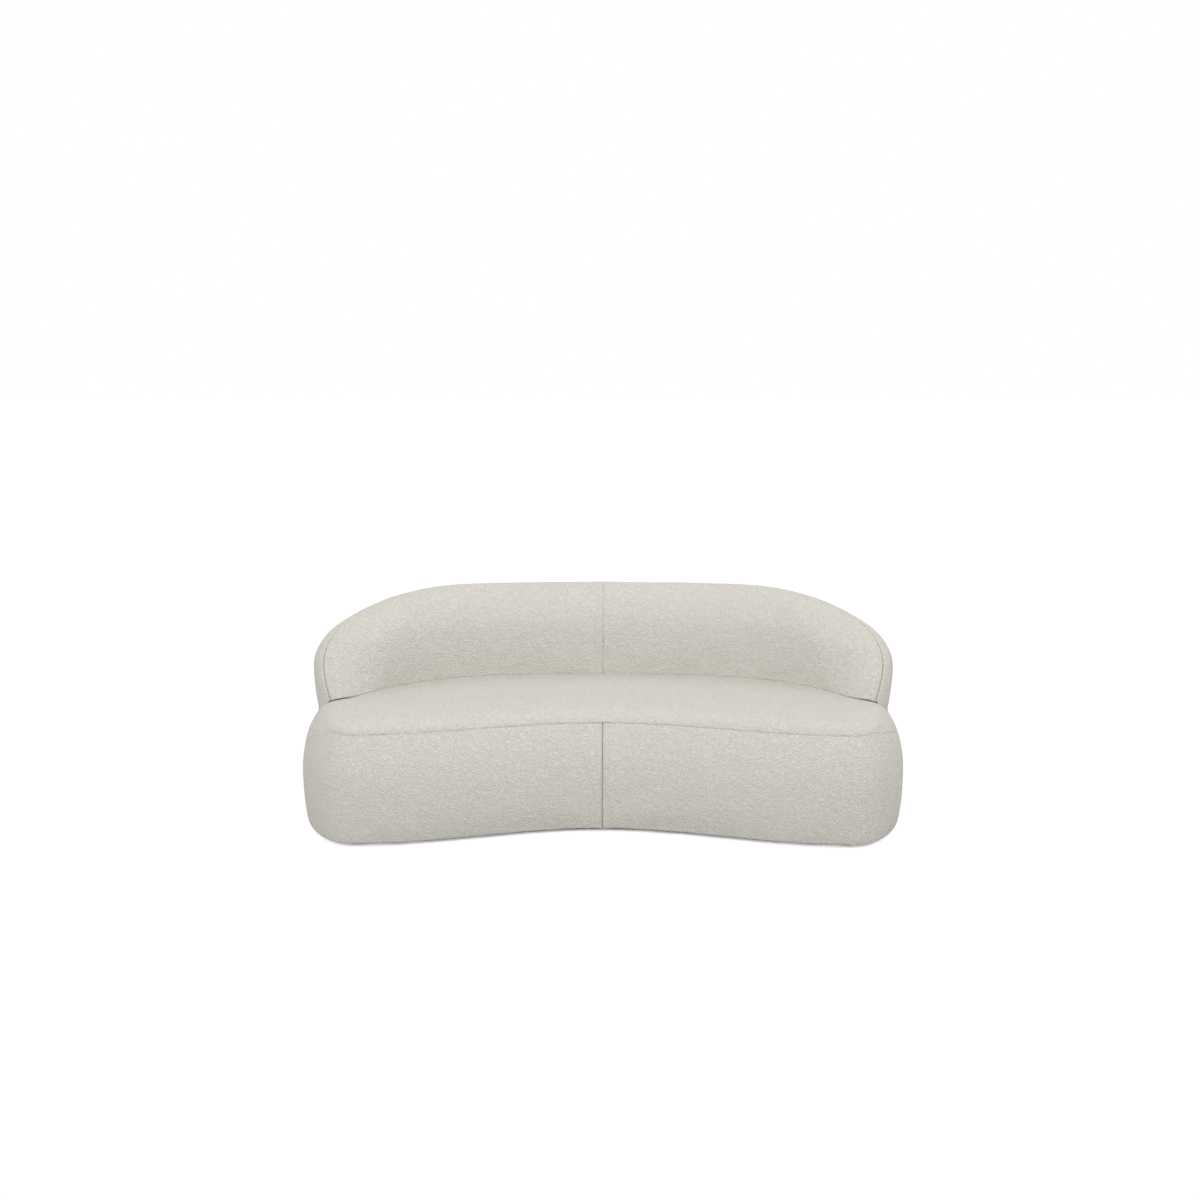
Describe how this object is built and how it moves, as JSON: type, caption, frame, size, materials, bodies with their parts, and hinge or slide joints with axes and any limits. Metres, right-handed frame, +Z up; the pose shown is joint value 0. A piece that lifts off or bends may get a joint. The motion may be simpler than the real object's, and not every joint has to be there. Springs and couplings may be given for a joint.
{
  "type": "curved sofa",
  "caption": "Curved upholstered sofa: a kidney-shaped seat block with a crowned top, and a low backrest that wraps forward round both ends.",
  "frame": {"origin": "on the floor, in the middle of the footprint", "axes": "+X to the right seen from the front, the front towards -Y, +Z up"},
  "size_m": [2.21, 0.985, 0.7707],
  "materials": {
    "boucle": "pale greige boucle",
    "foam": "polyurethane foam with a wadding wrap",
    "plywood": "birch plywood",
    "pine": "planed pine",
    "plinth": "black painted board",
    "dust_fabric": "black non-woven sheet",
    "webbing": "woven elastic webbing",
    "glides": "black nylon",
    "zinc": "zinc plated steel"
  },
  "bodies": {
    "root": {"back_bolt_1": "zinc", "back_bolt_2": "zinc", "back_bolt_3": "zinc", "back_bolt_4": "zinc", "back_cover_inner_left": "boucle", "back_cover_inner_right": "boucle", "back_cover_outer_left": "boucle", "back_cover_outer_right": "boucle", "back_foam": "foam", "back_inner_skin": "plywood", "back_outer_skin": "plywood", "back_post_1": "pine", "back_post_2": "pine", "back_post_3": "pine", "back_post_4": "pine", "back_rear_foam": "foam", "back_rib_1": "plywood", "back_rib_2": "plywood", "back_rib_3": "plywood", "back_rib_4": "plywood", "back_rib_5": "plywood", "back_rib_6": "plywood", "back_rib_7": "plywood", "back_sole": "plywood", "back_top_rail": "plywood", "band_cover_left": "boucle", "band_cover_right": "boucle", "base_board": "plywood", "cross_rail_1": "pine", "cross_rail_2": "pine", "cross_rail_3": "pine", "dust_cover": "dust_fabric", "glide_1": "glides", "glide_2": "glides", "glide_3": "glides", "glide_4": "glides", "glide_5": "glides", "glide_6": "glides", "plinth_left": "plinth", "plinth_right": "plinth", "seat_board": "plywood", "seat_cover": "boucle", "seat_foam": "foam", "seat_topper": "foam", "seat_webbing": "webbing", "side_foam_front": "foam", "side_foam_left": "foam", "side_foam_rear": "foam", "side_foam_right": "foam", "side_skin_left": "plywood", "side_skin_right": "plywood", "upright_left_1": "pine", "upright_left_2": "pine", "upright_left_3": "pine", "upright_left_4": "pine", "upright_right_1": "pine", "upright_right_2": "pine", "upright_right_3": "pine", "upright_right_4": "pine"}
  },
  "joints": []
}
